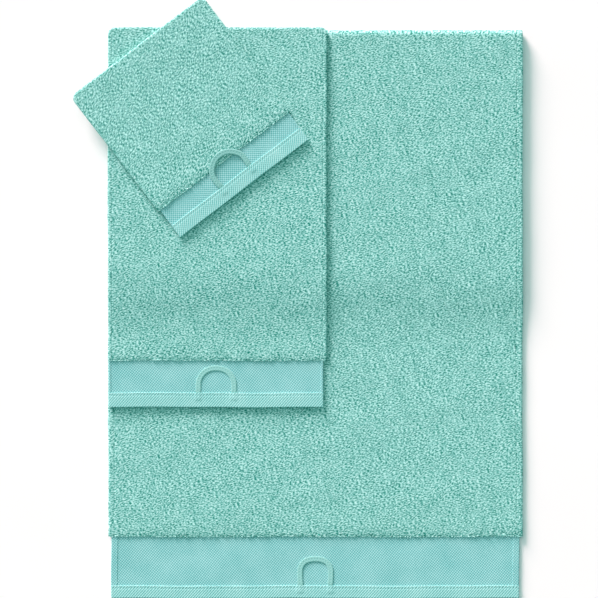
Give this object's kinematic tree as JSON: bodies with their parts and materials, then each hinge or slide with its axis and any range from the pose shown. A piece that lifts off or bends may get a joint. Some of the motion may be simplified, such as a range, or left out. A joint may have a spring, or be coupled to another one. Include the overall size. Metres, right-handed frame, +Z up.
{
  "type": "bath towel set",
  "caption": "Folded bath towel with a hand towel and an askew washcloth laid on it, each with a flat twill border, turned hem and hanging loop.",
  "frame": {"origin": "centre of the set's footprint, on the surface that the bath towel lies on", "axes": "+Z up from the surface, +Y from the foot hems of the bath and hand towels towards their heads, +X to the right along the foot hems"},
  "size_m": [0.825, 1.1006, 0.041],
  "materials": {
    "pile": "plush looped terry pile, aqua green",
    "weave": "flat twill weave, aqua",
    "hem_cloth": "reverse face of the twill, slightly lighter aqua",
    "side_hem_cloth": "terry pile turned over and sewn, aqua green",
    "thread": "matt sewing thread, light aqua",
    "strap": "flat woven tubular strap, soft sheen, aqua green"
  },
  "bodies": {
    "bath_towel": {"bath_pile": "pile", "bath_border": "weave", "bath_end_hem": "hem_cloth", "bath_hem_stitches": "thread", "bath_left_side_hem": "side_hem_cloth", "bath_right_side_hem": "side_hem_cloth", "bath_side_stitches": "thread", "bath_head_hem": "pile", "bath_head_stitches": "thread", "bath_loop_ends": "strap"},
    "bath_hanging_loop": {"bath_loop": "strap"},
    "hand_towel": {"hand_pile": "pile", "hand_border": "weave", "hand_end_hem": "hem_cloth", "hand_hem_stitches": "thread", "hand_left_side_hem": "side_hem_cloth", "hand_right_side_hem": "side_hem_cloth", "hand_side_stitches": "thread", "hand_head_hem": "pile", "hand_head_stitches": "thread", "hand_loop_ends": "strap"},
    "hand_hanging_loop": {"hand_loop": "strap"},
    "washcloth": {"washcloth_pile": "pile", "washcloth_border": "weave", "washcloth_end_hem": "hem_cloth", "washcloth_hem_stitches": "thread", "washcloth_left_side_hem": "side_hem_cloth", "washcloth_right_side_hem": "side_hem_cloth", "washcloth_side_stitches": "thread", "washcloth_head_hem": "pile", "washcloth_head_stitches": "thread", "washcloth_loop_ends": "strap"},
    "washcloth_hanging_loop": {"washcloth_loop": "strap"}
  },
  "joints": [
    {"name": "hand_towel_lift", "type": "slide", "parent": "bath_towel", "child": "hand_towel", "axis": [0, 0, 1], "range_m": [0, 0.15]},
    {"name": "washcloth_lift", "type": "slide", "parent": "hand_towel", "child": "washcloth", "axis": [0, 0, 1], "range_m": [0, 0.12]},
    {"name": "bath_loop_swing", "type": "hinge", "parent": "bath_towel", "child": "bath_hanging_loop", "pos_m": [0.03131, -0.52733, 0.0083], "axis": [1, 0, 0], "range_deg": [0, 160]},
    {"name": "hand_loop_swing", "type": "hinge", "parent": "hand_towel", "child": "hand_hanging_loop", "pos_m": [-0.15099, -0.17213, 0.0169], "axis": [1, 0, 0], "range_deg": [0, 160]},
    {"name": "washcloth_loop_swing", "type": "hinge", "parent": "washcloth", "child": "washcloth_hanging_loop", "pos_m": [-0.11478, 0.2242, 0.0341], "axis": [0.7965, 0.6046, 0], "range_deg": [0, 160]}
  ]
}
